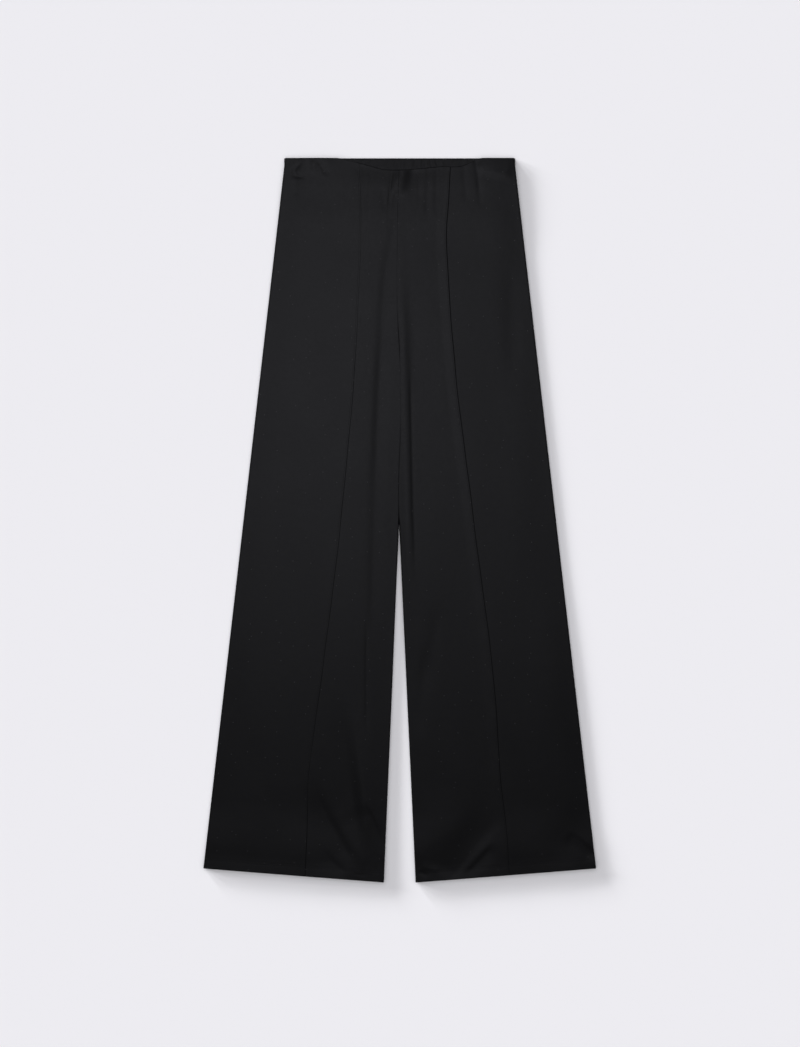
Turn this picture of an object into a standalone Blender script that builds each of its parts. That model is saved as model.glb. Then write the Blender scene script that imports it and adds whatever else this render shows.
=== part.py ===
"""Pull-on trousers with wide straight legs in black jersey, laid flat with the front up.

Metres, +Z up. The origin is on the floor under the middle of the garment, +Y runs to the waist and the
wearer's right leg lies on the -X side. Each piece is a cloth wall between an upper and a lower height grid:
the back panels lie flat, the elastic casing lies on their waist, and the front panels lie over both.
"""

from collections import namedtuple

import bmesh
import bpy
import numpy as np

MM = 0.001

# Outline, seen from above
WAIST_HALF_WIDTH = 172 * MM
HEM_HALF_WIDTH = 294.8 * MM
WAIST_Y = 543.4 * MM
HEM_OUTER_Y = -522.4 * MM
HEM_INNER_Y = -543.4 * MM
SPLIT_Y = -2.6 * MM
CROTCH_Y = 255 * MM
SEAM_DEEP_Y = 127 * MM  # below here the two legs lie side by side and each rolls down to the back

# Cloth
CLOTH = 1.2 * MM
GAP = 0.3 * MM
TURNED = 0.8 * MM  # what a turned edge adds inside the wall
HEM_DEPTH = 18 * MM
WAIST_TURN_DEPTH = 22 * MM
CASING_DEPTH = 25 * MM
CASING_TOP_RIPPLE = 0.15 * MM
CASING_GATHERS = 26
LAYER_STEP = 4 * MM  # length of the slope where a turned layer ends

# How the front lies over the back
LOFT = 2.0 * MM
SIDE_ROLL = 11 * MM
INNER_ROLL = 7 * MM
SEAM_GROOVE = 0.45  # share of the loft lost at the centre seam
SOFT_FLOOR = 0.35 * MM  # rounding where a trough meets the layer below
WAIST_LOFT = 0.55  # share of the loft that the elastic leaves at the waist
WAIST_LOFT_ZONE = (4 * CASING_DEPTH, 2 * CASING_DEPTH)  # below the waist, where that share sets in
WAIST_LIFT_ZONE = (6 * CASING_DEPTH, 1.25 * CASING_DEPTH)  # below the waist, where the casing lifts the front
HEM_LIFT_ZONE = (6 * HEM_DEPTH, 1.3 * HEM_DEPTH)  # above the hem, where the turned hems lift the front
ROOM = 3.5 * MM  # most room between the front and the layer under it
FOLD_FADE = 0.3  # share of a fold's length over which it fades out at each end
LONG_FOLD_FADE = 0.25

# Stitched front crease
CREASE_HEIGHT = 1.3 * MM
CREASE_TOP = 0.5 * MM
CREASE_FOOT = 1.6 * MM

BACK_TOP = CLOTH
HEM_BACK_TOP = CLOTH + TURNED
CASING_TOP = BACK_TOP + GAP + CLOTH + CASING_TOP_RIPPLE
LOWEST_FRONT = BACK_TOP + GAP + CLOTH
WAIST_LIFT = CASING_TOP + GAP + TURNED + CLOTH - LOWEST_FRONT
HEM_LIFT = HEM_BACK_TOP + GAP + TURNED + CLOTH - LOWEST_FRONT

# Tables are in millimetres and run from the hem to the waist.
Station = namedtuple("Station", "y x")
InnerStation = namedtuple("InnerStation", "y right left")
WaistStation = namedtuple("WaistStation", "x dip")
RowBand = namedtuple("RowBand", "length steps")
LongFold = namedtuple("LongFold", "leg y_low y_high shift left_width right_width depth")
Fold = namedtuple("Fold", "leg x0 y0 xm ym x1 y1 left_width right_width depth")

# Inner edges of the two legs below the split
INSEAMS = [
    InnerStation(-543.4, -23.7, 23.7),
    InnerStation(-419.6, -18.5, 18.1),
    InnerStation(-269.6, -12.1, 11.1),
    InnerStation(-120, -6.0, 4.3),
    InnerStation(-60, -3.4, 1.5),
    InnerStation(-31, -2.1, 0.1),
    InnerStation(-2.6, -1.2, -1.2),
]

# The line above the split where the two legs meet
CENTRE_LINE = [
    Station(-2.6, -1.2),
    Station(45, -1.8),
    Station(143, 1.2),
    Station(249, 0.0),
    Station(303, -3.0),
    Station(432, -3.5),
    Station(543.4, -1.0),
]

# How far the front waist edge hangs below the back one
WAIST_DIP = [
    WaistStation(-172, 0.0),
    WaistStation(-90, 0.6),
    WaistStation(-45, 11.6),
    WaistStation(-24, 17.0),
    WaistStation(-6, 17.8),
    WaistStation(24, 16.4),
    WaistStation(60, 12.8),
    WaistStation(98, 10.4),
    WaistStation(112, 3.4),
    WaistStation(122, 0.3),
    WaistStation(172, 0.0),
]

# The long folds that fan down from the pinch at the centre front
INNER_FOLD_LINE = {
    "right": [
        Station(-543.4, -57.0),
        Station(-420, -50.0),
        Station(-322, -46.0),
        Station(-180, -47.0),
        Station(0, -43.5),
        Station(120, -39.5),
        Station(255, -33.5),
        Station(375, -25.5),
        Station(435, -15.0),
        Station(488, -9.5),
        Station(543.4, -7.0),
    ],
    "left": [
        Station(-543.4, 70.0),
        Station(-400, 50.0),
        Station(-250, 32.0),
        Station(-105, 21.8),
        Station(0, 18.0),
        Station(150, 14.6),
        Station(281, 12.0),
        Station(380, 7.5),
        Station(467, 5.1),
        Station(543.4, 6.0),
    ],
}

CREASE_LINE = {
    "right": [
        Station(-543.4, -142.8),
        Station(-472, -140.0),
        Station(-382, -137.0),
        Station(-300, -126.8),
        Station(-202, -113.4),
        Station(-82, -98.0),
        Station(38, -85.0),
        Station(158, -73.6),
        Station(278, -65.0),
        Station(368, -60.8),
        Station(458, -58.6),
        Station(543.4, -61.5),
    ],
    "left": [
        Station(-543.4, 164.8),
        Station(-450, 158.0),
        Station(-390, 150.5),
        Station(-330, 147.3),
        Station(-270, 143.0),
        Station(-150, 130.0),
        Station(-30, 114.0),
        Station(90, 99.0),
        Station(210, 84.3),
        Station(330, 74.3),
        Station(390, 71.2),
        Station(435, 69.5),
        Station(480, 72.6),
        Station(543.4, 76.0),
    ],
}

# Folds beside the two long lines; left and right are as the front is seen, and a negative depth is a trough.
LONG_FOLDS = [
    LongFold("right", -160, 530, 6.0, 8.0, 13.0, -0.8),
    LongFold("left", -160, 500, -7.5, 9.0, 10.0, 0.4),
    LongFold("left", -160, 380, -7.5, 14.0, 8.5, 0.75),
]

# Other folds, each on a curve from (x0, y0) through (xm, ym) to (x1, y1); left and right are as seen walking it.
FOLDS = [
    # hem of the right leg
    Fold("right", -78, -245, -61, -360, -51, -496, 45, 11, 1.5),
    Fold("right", -96, -255, -77, -375, -66, -505, 9, 36, -1.15),
    Fold("right", -138, -385, -101, -462, -62, -522, 10, 34, -1.15),
    Fold("right", -124, -484, -105, -512, -78, -531, 6, 14, -0.5),
    Fold("right", -60, -423, -40, -465, -24, -505, 5, 40, -0.45),
    Fold("right", -44, -496, -30, -508, -18, -517, 5, 16, -0.4),
    # hem of the left leg
    Fold("left", 112, -405, 62, -470, 2, -500, 24, 40, 0.6),
    Fold("left", 157, -430, 110, -490, 69, -542, 12, 32, -1.0),
    Fold("left", 144, -484, 119, -512, 94, -537, 12, 5, -0.9),
    Fold("left", 282, -395, 246, -470, 205, -505, 26, 26, -1.3),
    Fold("left", 247, -466, 270, -486, 296, -508, 6, 12, -0.85),
    Fold("left", 30, -518, 46, -522, 62, -527, 6, 5, 0.4),
    # broad soft troughs
    Fold("left", 165, 398, 168, 300, 172, 190, 14, 14, -0.35),
    Fold("left", 60, -120, 50, -190, 40, -262, 10, 10, -0.3),
    Fold("left", 40, -180, 33, -260, 30, -330, 9, 9, -0.4),
    # the pinch and the crisp fold beside it
    Fold("both", 22, 536, 18, 511, 12, 478, 11, 9, -0.95),
    Fold("both", 5.5, 534, 2, 511, -4, 486, 7, 7, 1.5),
    Fold("left", -40, 530, 22, 527, 84, 534, 10, 16, -0.6),
    Fold("right", -84, 534, -22, 527, 40, 530, 10, 16, -0.6),
    Fold("right", 3, 512, -4, 494, -12, 462, 5, 5, -0.6),
    Fold("right", -10, 540, -14, 500, -19, 452, 4, 4, -0.8),
    Fold("right", -27, 500, -24, 480, -22, 460, 5, 5, -0.3),
    # gathers under the right half of the waist
    Fold("right", -82, 548, -81, 510, -80, 470, 4, 4, -0.3),
    Fold("right", -64, 540, -65, 505, -67, 455, 4, 4, -0.3),
    Fold("right", -52, 540, -54, 508, -55, 475, 4, 4, -0.3),
    Fold("right", -44, 540, -46, 500, -50, 450, 4, 4, -0.3),
    # gathers under the left half of the waist
    Fold("left", 30, 540, 29, 508, 28, 470, 4, 4, -0.3),
    Fold("left", 43, 545, 42, 500, 40, 438, 4, 4.5, -0.4),
    Fold("left", 56, 545, 55, 506, 53, 452, 4, 4, -0.3),
    Fold("left", 64, 540, 63, 505, 61, 470, 4, 4, -0.3),
    Fold("left", 96, 545, 98, 504, 101, 470, 4, 4.5, -0.3),
    Fold("left", 108, 548, 116, 524, 121, 460, 4, 4, -0.7),
    # crumples at the two ends of the casing
    Fold("right", -152, 550, -127, 544, -98, 550, 10, 20, 1.0),
    Fold("right", -143, 539, -158, 524, -148, 514, 4, 4, -0.8),
    Fold("right", -162, 519, -153, 515, -142, 517, 4, 4, -0.5),
    Fold("right", -131, 541, -129, 530, -127, 516, 4, 4, 0.5),
    Fold("right", -124, 541, -116, 529, -108, 514, 4, 4, -0.6),
    Fold("right", -158, 520, -156, 500, -157, 482, 4, 4, -0.4),
    Fold("left", 116, 540, 137, 526, 164, 518, 30, 9, 0.9),
    Fold("left", 124, 534, 132, 525, 138, 535, 4, 4, -0.4),
]

# Rows of the panels, counted down from the waist to the split and on to the hem
ROW_BANDS = [
    RowBand(28, 6),
    RowBand(60, 6),
    RowBand(160, 6),
    RowBand(298, 9),
    RowBand(30, 1),
    RowBand(300, 9),
    RowBand(90, 5),
    RowBand(100, 14),
    RowBand(20.8, 4),
]
DIP_FADES_FROM = 28 * MM
DIP_FADES_TO = 88 * MM
SLANT_STARTS_AT = 666 * MM
SLANT_FULL_AT = 966 * MM

# Shares of the way across between two guide lines, where the columns of a front panel run
INNER_COLUMNS = [0.0, 0.08, 0.2, 0.35, 0.52, 0.7, 0.88]
MIDDLE_COLUMNS = [0.0, 0.06, 0.13, 0.21, 0.29, 0.37, 0.45, 0.53, 0.61, 0.69, 0.77, 0.85, 0.93]
OUTER_COLUMNS = [0.07, 0.15, 0.24, 0.33, 0.43, 0.53, 0.63, 0.73, 0.83, 0.92, 0.975, 1.0]
BACK_COLUMNS = [0.0, 0.1, 0.35, 0.65, 0.9, 1.0]

SIDE = {"right": -1, "left": 1}
CURVE_POINTS = 16
BLACK_JERSEY = (0.016, 0.016, 0.018, 1.0)


def at_least_zero(value):
    """The value, or zero where it is negative, with the corner between them rounded."""
    return 0.5 * (value + np.hypot(value, SOFT_FLOOR))


def smooth_step(value, start, end):
    share = np.clip((value - start) / (end - start), 0.0, 1.0)
    return share * share * (3.0 - 2.0 * share)


def through(table, along, across, value):
    """Cubic curve through a table's rows, with each row's slope taken from its neighbours."""
    at = np.array([getattr(row, along) for row in table]) * MM
    out = np.array([getattr(row, across) for row in table]) * MM
    slope = np.gradient(out, at)
    value = np.clip(value, at[0], at[-1])
    low = np.clip(np.searchsorted(at, value, side="right") - 1, 0, len(at) - 2)
    span = at[low + 1] - at[low]
    t = (value - at[low]) / span
    start = (1 + 2 * t) * (1 - t) ** 2 * out[low] + t * (1 - t) ** 2 * span * slope[low]
    end = t**2 * (3 - 2 * t) * out[low + 1] - t**2 * (1 - t) * span * slope[low + 1]
    return start + end


def inner_edge(leg, y):
    """The panel's edge at the inseam, or half a gap clear of the centre line above the split."""
    centre = through(CENTRE_LINE, "y", "x", y) + SIDE[leg] * GAP / 2
    return np.where(y > SPLIT_Y - GAP, centre, through(INSEAMS, "y", leg, y))


def outer_edge(leg, y):
    share = (WAIST_Y - y) / (WAIST_Y - HEM_OUTER_Y)
    return SIDE[leg] * (WAIST_HALF_WIDTH + share * (HEM_HALF_WIDTH - WAIST_HALF_WIDTH))


def hem_line(x):
    inner = abs(INSEAMS[0].right) * MM
    share = (np.abs(x) - inner) / (HEM_HALF_WIDTH - inner)
    return HEM_INNER_Y + share * (HEM_OUTER_Y - HEM_INNER_Y)


def waist_line(x):
    return WAIST_Y - np.maximum(through(WAIST_DIP, "x", "dip", x), 0.0)


def fold_curve(fold):
    """Points of the quadratic curve that passes through the fold's middle point."""
    ends = np.array([[fold.x0, fold.y0], [fold.x1, fold.y1]]) * MM
    middle = np.array([fold.xm, fold.ym]) * MM
    pull = 2.0 * middle - ends.mean(axis=0)
    t = np.linspace(0.0, 1.0, CURVE_POINTS)[:, None]
    return (1 - t) ** 2 * ends[0] + 2 * t * (1 - t) * pull + t**2 * ends[1]


def fold_height(fold, x, y):
    """A soft trough or ridge along the fold's curve, fading out towards both of its ends."""
    points = fold_curve(fold)
    nearest = np.full(np.shape(x), np.inf)
    along = np.zeros(np.shape(x))
    on_left = np.zeros(np.shape(x), bool)
    for i, (start, end) in enumerate(zip(points[:-1], points[1:])):
        step = end - start
        t = ((x - start[0]) * step[0] + (y - start[1]) * step[1]) / (step @ step)
        t = np.clip(t, 0.0, 1.0)
        away = np.hypot(x - start[0] - t * step[0], y - start[1] - t * step[1])
        turn = step[0] * (y - start[1]) - step[1] * (x - start[0])
        along = np.where(away < nearest, (i + t) / (CURVE_POINTS - 1), along)
        on_left = np.where(away < nearest, turn > 0, on_left)
        nearest = np.minimum(nearest, away)
    fade = smooth_step(along, 0.0, FOLD_FADE) * smooth_step(1.0 - along, 0.0, FOLD_FADE)
    width = np.where(on_left, fold.left_width, fold.right_width) * MM
    return fold.depth * MM * fade * np.exp(-((nearest / width) ** 2))


def long_fold_height(fold, x, y):
    away = x - through(INNER_FOLD_LINE[fold.leg], "y", "x", y) - fold.shift * MM
    low = fold.y_low * MM
    high = fold.y_high * MM
    reach = LONG_FOLD_FADE * (high - low)
    fade = smooth_step(y, low, low + reach) * smooth_step(-y, -high, -high + reach)
    width = np.where(away < 0, fold.left_width, fold.right_width) * MM
    return fold.depth * MM * fade * np.exp(-((away / width) ** 2))


def front_outside(leg, x, y):
    """Height of a front panel's outer face, without its stitched crease."""
    from_side = np.abs(outer_edge(leg, y) - x)
    from_inner = np.abs(inner_edge(leg, y) - x)
    inner_loss = SEAM_GROOVE + (1.0 - SEAM_GROOVE) * smooth_step(-y, -CROTCH_Y, -SEAM_DEEP_Y)
    from_waist = y - WAIST_Y
    from_hem = hem_line(x) - y
    waist_share = smooth_step(from_waist, -WAIST_LOFT_ZONE[0], -WAIST_LOFT_ZONE[1])
    lay = LOFT * (1.0 - (1.0 - WAIST_LOFT) * waist_share)
    lay = lay * (1.0 - np.exp(-((from_side / SIDE_ROLL) ** 2)))
    lay = lay * (1.0 - inner_loss * np.exp(-((from_inner / INNER_ROLL) ** 2)))
    for fold in FOLDS:
        if fold.leg in (leg, "both"):
            lay = lay + fold_height(fold, x, y)
    for fold in LONG_FOLDS:
        if fold.leg == leg:
            lay = lay + long_fold_height(fold, x, y)
    waist_lift = WAIST_LIFT * smooth_step(from_waist, -WAIST_LIFT_ZONE[0], -WAIST_LIFT_ZONE[1])
    hem_lift = HEM_LIFT * smooth_step(from_hem, -HEM_LIFT_ZONE[0], -HEM_LIFT_ZONE[1])
    room = ROOM - waist_lift - hem_lift
    lay = room - at_least_zero(room - at_least_zero(lay))
    return LOWEST_FRONT + waist_lift + hem_lift + lay


def turned_layer(distance, depth):
    """What the turned-in edge adds to the wall at this distance from the edge."""
    return TURNED * smooth_step(-distance, -depth, LAYER_STEP - depth)


def crease_ridge(leg, x, y):
    line = through(CREASE_LINE[leg], "y", "x", y)
    return CREASE_HEIGHT * smooth_step(-np.abs(x - line), -CREASE_FOOT, -CREASE_TOP)


def row_distances():
    """Distances of the rows below the back waist edge."""
    distances = [0.0]
    for band in ROW_BANDS:
        start = distances[-1]
        shares = np.arange(1, band.steps + 1) / band.steps
        distances.extend(start + band.length * MM * shares)
    return np.array(distances)


def front_columns(leg, y):
    """x of every column of a front panel at height y, from the inner edge to the side seam."""
    inner = inner_edge(leg, y)
    fold = through(INNER_FOLD_LINE[leg], "y", "x", y)
    crease = through(CREASE_LINE[leg], "y", "x", y)
    outer = outer_edge(leg, y)
    near = crease - SIDE[leg] * CREASE_FOOT
    far = crease + SIDE[leg] * CREASE_FOOT
    columns = [inner + share * (fold - inner) for share in INNER_COLUMNS]
    columns += [fold + share * (near - fold) for share in MIDDLE_COLUMNS]
    for offset in (-CREASE_FOOT, -CREASE_TOP, CREASE_TOP, CREASE_FOOT):
        columns.append(crease + SIDE[leg] * offset)
    columns += [far + share * (outer - far) for share in OUTER_COLUMNS]
    return columns


def back_columns(leg, y):
    inner = inner_edge(leg, y)
    outer = outer_edge(leg, y)
    return [inner + share * (outer - inner) for share in BACK_COLUMNS]


def panel_grid(leg, columns_at, waist_at):
    """x and y of a panel's grid, rows from the waist to the hem and columns from the inner edge out."""
    distance = row_distances()
    dip_share = 1.0 - smooth_step(distance, DIP_FADES_FROM, DIP_FADES_TO)
    slant_share = smooth_step(distance, SLANT_STARTS_AT, SLANT_FULL_AT)
    level = WAIST_Y - distance
    across = np.array(columns_at(leg, level)).T
    dip = (WAIST_Y - waist_at(across)) * dip_share[:, None]
    rise = (hem_line(across) - HEM_INNER_Y) * slant_share[:, None]
    y = level[:, None] - dip + rise
    columns = np.array(columns_at(leg, y))
    x = np.array([column[:, i] for i, column in enumerate(columns)]).T
    return x, y


def wall(name, x, y, top, bottom):
    """A closed cloth wall between two height grids that share their plan."""
    rows, columns = x.shape
    mesh = bmesh.new()
    grids = []
    for height in (top, bottom):
        grids.append([[mesh.verts.new(point) for point in zip(*row)] for row in zip(x, y, height)])
    upper, lower = grids
    for r in range(rows - 1):
        for c in range(columns - 1):
            mesh.faces.new((upper[r][c], upper[r + 1][c], upper[r + 1][c + 1], upper[r][c + 1]))
            mesh.faces.new((lower[r][c], lower[r][c + 1], lower[r + 1][c + 1], lower[r + 1][c]))
    rim = [(0, c) for c in range(columns)]
    rim += [(r, columns - 1) for r in range(1, rows)]
    rim += [(rows - 1, c) for c in range(columns - 2, -1, -1)]
    rim += [(r, 0) for r in range(rows - 2, 0, -1)]
    for (r0, c0), (r1, c1) in zip(rim, rim[1:] + rim[:1]):
        mesh.faces.new((upper[r0][c0], upper[r1][c1], lower[r1][c1], lower[r0][c0]))
    bmesh.ops.recalc_face_normals(mesh, faces=mesh.faces)
    data = bpy.data.meshes.new(name)
    mesh.to_mesh(data)
    mesh.free()
    data.materials.append(jersey())
    piece = bpy.data.objects.new(name, data)
    bpy.context.scene.collection.objects.link(piece)
    return piece


def jersey():
    """The one cloth of the garment, a matt black jersey."""
    material = bpy.data.materials.get("black_jersey") or bpy.data.materials.new("black_jersey")
    material.use_nodes = True
    shader = material.node_tree.nodes["Principled BSDF"]
    shader.inputs["Base Color"].default_value = BLACK_JERSEY
    shader.inputs["Roughness"].default_value = 0.85
    shader.inputs["Metallic"].default_value = 0.0
    return material


def front_panel(leg):
    x, y = panel_grid(leg, front_columns, waist_line)
    outside = front_outside(leg, x, y)
    turned = turned_layer(waist_line(x) - y, WAIST_TURN_DEPTH) + turned_layer(y - hem_line(x), HEM_DEPTH)
    return wall("front_" + leg, x, y, outside + crease_ridge(leg, x, y), outside - CLOTH - turned)


def back_panel(leg):
    x, y = panel_grid(leg, back_columns, lambda across: np.full(np.shape(across), WAIST_Y))
    top = CLOTH + turned_layer(y - hem_line(x), HEM_DEPTH)
    return wall("back_" + leg, x, y, top, np.zeros(x.shape))


def waist_casing():
    """The back half of the elastic casing, gathered by its elastic."""
    gather_share = np.linspace(0.0, 1.0, 4 * CASING_GATHERS + 1)
    y = WAIST_Y - GAP - CASING_DEPTH * np.array([0.0, 0.5, 1.0])
    end = outer_edge("left", y) - 5 * GAP
    x = end[:, None] * (2.0 * gather_share - 1.0)[None, :]
    y = np.repeat(y[:, None], x.shape[1], axis=1)
    ripple = CASING_TOP_RIPPLE * np.sin(2.0 * np.pi * CASING_GATHERS * gather_share)
    bottom = np.full(x.shape, BACK_TOP + GAP)
    return wall("waist_casing_back", x, y, bottom + CLOTH + ripple, bottom)


def main():
    for existing in list(bpy.data.objects):
        bpy.data.objects.remove(existing, do_unlink=True)
    for leg in SIDE:
        back_panel(leg)
        front_panel(leg)
    waist_casing()


main()
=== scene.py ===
"""Looks of the black pull-on trousers with wide straight legs, laid flat with the front up.

Metres, in the CAD frame: +Y runs to the waist, +Z out of the front, and the wearer's right leg lies on the
-X side. Each CAD node is replaced by a thin closed shell on its own form, with finer folds, rolled edges and
sewing. Only the tables are in millimetres.
"""

from collections import namedtuple

import bpy
import numpy as np
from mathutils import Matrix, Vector, noise

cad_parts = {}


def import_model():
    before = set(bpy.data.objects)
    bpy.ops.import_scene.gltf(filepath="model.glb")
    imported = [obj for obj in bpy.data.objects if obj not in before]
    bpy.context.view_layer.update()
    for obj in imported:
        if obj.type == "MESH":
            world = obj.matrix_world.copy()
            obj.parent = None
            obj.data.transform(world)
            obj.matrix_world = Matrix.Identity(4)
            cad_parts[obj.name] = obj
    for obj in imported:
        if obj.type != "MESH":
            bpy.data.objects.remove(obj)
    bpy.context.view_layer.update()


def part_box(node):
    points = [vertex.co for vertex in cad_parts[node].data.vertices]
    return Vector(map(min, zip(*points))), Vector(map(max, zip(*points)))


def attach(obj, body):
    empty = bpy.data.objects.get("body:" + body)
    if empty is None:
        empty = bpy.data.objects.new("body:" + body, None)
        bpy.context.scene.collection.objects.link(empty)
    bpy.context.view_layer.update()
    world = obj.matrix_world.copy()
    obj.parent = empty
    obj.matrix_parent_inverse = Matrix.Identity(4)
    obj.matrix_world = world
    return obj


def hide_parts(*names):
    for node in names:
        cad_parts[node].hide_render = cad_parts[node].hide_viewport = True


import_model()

MM = 0.001

# Outline, from the frame and from the garment's own sizes
WAIST_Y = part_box("back_left")[1].y
HEM_INNER_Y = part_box("back_left")[0].y
HEM_HALF_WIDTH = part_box("back_left")[1].x
WAIST_HALF_WIDTH = 172 * MM
HEM_OUTER_Y = -522.4 * MM
SPLIT_Y = -2.6 * MM
CASING_HALF_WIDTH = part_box("waist_casing_back")[1].x
CASING_LOW_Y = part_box("waist_casing_back")[0].y
CASING_HIGH_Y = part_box("waist_casing_back")[1].y

# Cloth
CLOTH = 1.2 * MM
GAP = 0.3 * MM
SEAM_LAP = 0.08 * MM  # how far the two legs' cloth runs into the centre seam, which leaves no gap
TURNED = 0.8 * MM
HEM_DEPTH = 18 * MM
WAIST_TURN_DEPTH = 22 * MM
CASING_DEPTH = 25 * MM
CASING_RIPPLE = 0.15 * MM  # room left over the casing for its gathers
LAYER_STEP = 4 * MM  # how far a turned-in layer takes to thin out to nothing

# How the front lies over the back
LOFT = 2.0 * MM
SIDE_ROLL = 26 * MM
SIDE_LOSS = 0.45  # share of the loft lost at the side seam
INNER_ROLL = {"right": 34 * MM, "left": 15 * MM}
SOFT_FLOOR = 0.35 * MM
LEG_TILT = {"right": 0.0, "left": 0.014}  # how steeply a leg falls away towards +X
LEG_TILT_SETS_IN = (-260 * MM, -60 * MM)
LEG_TILT_ENDS = (200 * MM, 540 * MM)
WAIST_LOFT = 0.55  # share of the loft that is left at the waist
WAIST_LOFT_ZONE = (4 * CASING_DEPTH, 2 * CASING_DEPTH)
WAIST_LIFT_ZONE = (6 * CASING_DEPTH, 1.25 * CASING_DEPTH)
HEM_LIFT_ZONE = (6 * HEM_DEPTH, 1.3 * HEM_DEPTH)
ROOM = 5.0 * MM  # highest that the lifts and the folds go together
LONG_FOLD_FADE = 0.25  # share of a long fold's length in which each end fades out
FOLD_REACH = 3  # widths beyond which a fold is flat

BACK_TOP = CLOTH
BACK_SEAM_DROP = GAP / 3  # how far below the front's rolled long edges the back's meet
HEM_BACK_TOP = CLOTH + TURNED
CASING_TOP = BACK_TOP + GAP + CLOTH + CASING_RIPPLE
LOWEST_FRONT = BACK_TOP + GAP + CLOTH
WAIST_LIFT = CASING_TOP + GAP + TURNED + CLOTH - LOWEST_FRONT
HEM_LIFT = HEM_BACK_TOP + GAP + TURNED + CLOTH - LOWEST_FRONT

# Stitched crease: a gentle slope on the -X side, a sharp drop on the other
CREASE_HEIGHT = 0.62 * MM
CREASE_RISE = (-16.0 * MM, -0.3 * MM)
CREASE_DROP = (0.0 * MM, 0.9 * MM)
CREASE_WIGGLE = 0.4 * MM
CREASE_WANDER = (23 * MM, 61 * MM)  # the quick and the slow part of the line's wandering
CREASE_UNEVENNESS = 0.5
CREASE_CHANGE = (1.0, 45 * MM)  # lengths of that unevenness: it changes along the crease only
# Columns of the grid beside the crease, in millimetres from it
CREASE_COLUMNS = [-8.0, -5.0, -3.0, -1.8, -1.0, -0.5, -0.2, 0.0, 0.2, 0.4, 0.7, 1.0, 1.6, 3.0]

# Rolled edges
SIDE_RADIUS = 1.4 * MM
TURN_RADIUS = 1.0 * MM
EDGE_STEPS = [0.0, 0.06, 0.2, 0.45, 0.75, 1.1, 1.6]  # in millimetres from an edge

# Slow waves that keep the flat stretches from being flat
WAVE_HEIGHT = 0.25 * MM
WAVE_LENGTH = (55 * MM, 170 * MM)
CRUMPLE_HEIGHT = 0.03 * MM
CRUMPLE_LENGTH = (9 * MM, 14 * MM)

# Where each set of random waves is cut from the noise
CASING_DRIFT_SEED = 3.0
CREASE_SEED = 4.0
CASING_PATCH_SEED = 5.0
CRUMPLE_SEED = 7.0
HEM_PUFF_SEED = 11.0

# Turned hems: the doubled cloth puffs, and each stitch row pulls a groove in it
HEM_STITCH_HEIGHTS = {"low": 13.0 * MM, "high": 16.0 * MM}
HEM_GROOVE = 0.05 * MM
HEM_GROOVE_WIDTH = 0.9 * MM
HEM_PUFF = 0.9 * MM
HEM_PUFF_DEPTH = 26 * MM
HEM_PUFF_START = -0.4 * HEM_PUFF_DEPTH
HEM_PUFF_LENGTH = (50 * MM, 200 * MM)
HEM_PUFF_UNEVENNESS = 0.4

# Stitches
STITCH_LENGTH = 2.6 * MM
STITCH_PITCH = 3.2 * MM
STITCH_SIDES = 6
STITCH_RINGS = (0.0, 0.12, 0.3, 0.5, 0.7, 0.88, 1.0)
STITCH_RISE = 1.3  # in thread radii, from a stitch's ends to its middle
STITCH_TIP = 0.35  # the thread's radius at a stitch's ends, as a share of its full radius
THREAD_RADIUS = 0.2 * MM
PATH_STEP = 1.5 * MM
SEWING_INSET = 3 * MM
CREASE_STITCH_OFFSET = -2.0 * MM

# Gathers of the elastic casing
CASING_ROWS = 44
CASING_COLUMNS = 640
CASING_THICKNESS = 0.95 * MM
CASING_EDGE_LEVEL = 0.2 * MM  # where the rolled edge meets, above the casing's underside
CASING_GATHERS = 26
CASING_GATHER_HEIGHT = 0.06 * MM
CASING_OPEN_HEIGHT = 0.03 * MM  # more gather where no front panel lies on the casing
CASING_OPEN_EDGE = (1.0 * MM, 5.0 * MM)  # where that sets in, above the front's waist edge
CASING_COVERED = 0.3  # share of the raised part that is left under a front panel
CASING_SLANT = 0.35  # how far the gathers lean, as a share of their length
CASING_DRIFT = 0.7  # how far the gathers wander, in gathers
CASING_DRIFT_LENGTH = (38 * MM, 20 * MM)
CASING_SECOND_GATHER = (0.45, 2.3, 1.0)  # height, waves and shift of the smaller gathers among the others
CASING_PATCH = (0.75, 0.5)  # mean share of the gathers' height, and how far it varies
CASING_PATCH_LENGTH = (22 * MM, 60 * MM)

# Cloth's looks
Cloth = namedtuple("Cloth", "name dark light roughness")
JERSEY = Cloth("black_jersey", (0.0062, 0.0062, 0.0068), (0.0092, 0.0092, 0.0100), 0.398)
# A slightly darker copy of the front's jersey colours: painted shade for the casing where it shows under the
# front's waist edge, with a slightly rougher finish
CASING_JERSEY_SHADED = Cloth("casing_jersey_painted_shade", (0.0060, 0.0060, 0.0066), (0.0088, 0.0088, 0.0096), 0.42)
CLOTH_SPECULAR = 0.15
KNIT_RIBS = {"Scale": 420.0, "Distortion": 1.6, "Detail": 2.0, "bands_direction": "X"}
KNIT_ROWS = {"Scale": 300.0, "Distortion": 1.2, "Detail": 1.0, "bands_direction": "Y"}
CREPE = {"Scale": 900.0, "Detail": 3.0, "Roughness": 0.6}
TONE = {"Scale": 14.0, "Detail": 4.0, "Roughness": 0.55}
MOTTLE = {"Scale": 210.0, "Detail": 2.0, "Roughness": 0.6}
SLUBS = {"Scale": 1.0, "Detail": 2.0, "Roughness": 0.5}
SLUB_STRETCH = (110.0, 420.0, 110.0)
KNIT_BUMP = {"Strength": 0.3, "Distance": 0.12 * MM}
SLUB_BUMP = {"Strength": 1.0, "Distance": 0.035 * MM}
CREPE_SHARE = 0.4  # of the crepe in the tone
TONE_RANGE = (0.45, 0.95)
MOTTLE_SHARE = 1.2  # of the mottle in the roughness
MOTTLE_RANGE = {"From Min": 0.6, "From Max": 1.6}
PATCHINESS = 0.025  # how far the roughness wanders
LINT_SPACING = 45.0  # cells per metre, of which few hold a speck
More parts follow.
